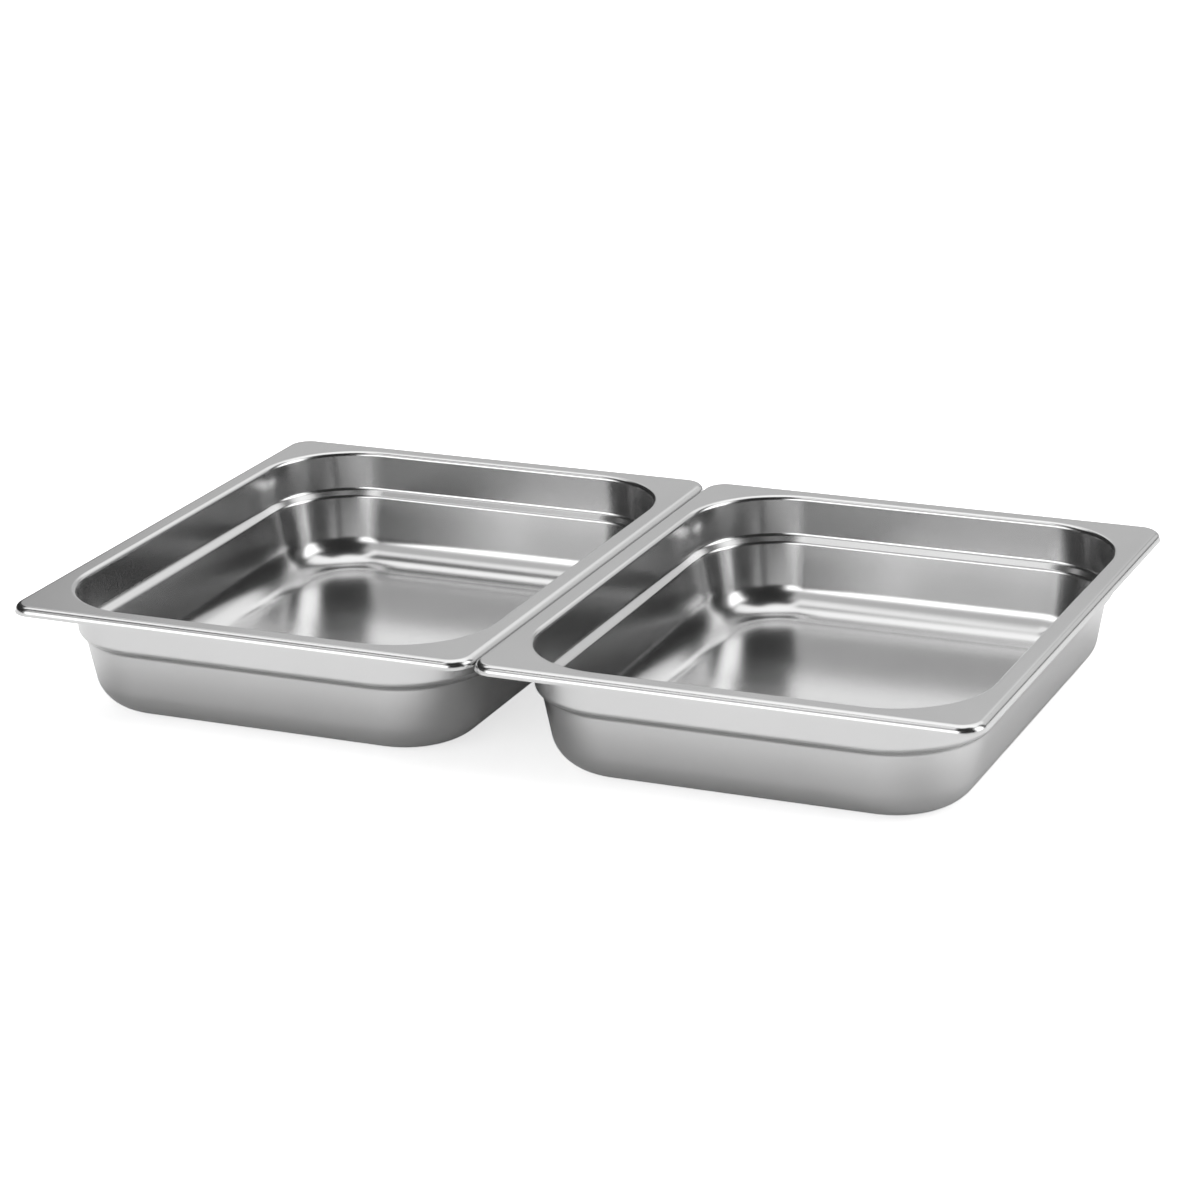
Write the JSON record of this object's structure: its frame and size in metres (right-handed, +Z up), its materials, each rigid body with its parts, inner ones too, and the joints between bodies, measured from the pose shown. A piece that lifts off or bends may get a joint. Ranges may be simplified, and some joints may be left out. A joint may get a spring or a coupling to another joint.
{
  "type": "gastronorm food pans",
  "caption": "Pair of half-size deep-drawn steel food pans with flat rims, a stacking shoulder and rounded corners, set side by side.",
  "frame": {"origin": "on the ground, midway between the two pans, halfway along their length", "axes": "+X along the pair, from the left pan to the right pan; +Y to the back, along each pan's long side; +Z up, out of the mouths"},
  "size_m": [0.5306, 0.325, 0.065],
  "materials": {
    "satin_steel": "satin stainless steel sheet, bright along the rolled edges"
  },
  "bodies": {
    "left_pan": {"left_pan": "satin_steel"},
    "right_pan": {"right_pan": "satin_steel"}
  },
  "joints": [
    {"name": "right_pan_lift", "type": "slide", "parent": "left_pan", "child": "right_pan", "axis": [0, 0, 1], "range_m": [0, 0.15]}
  ]
}
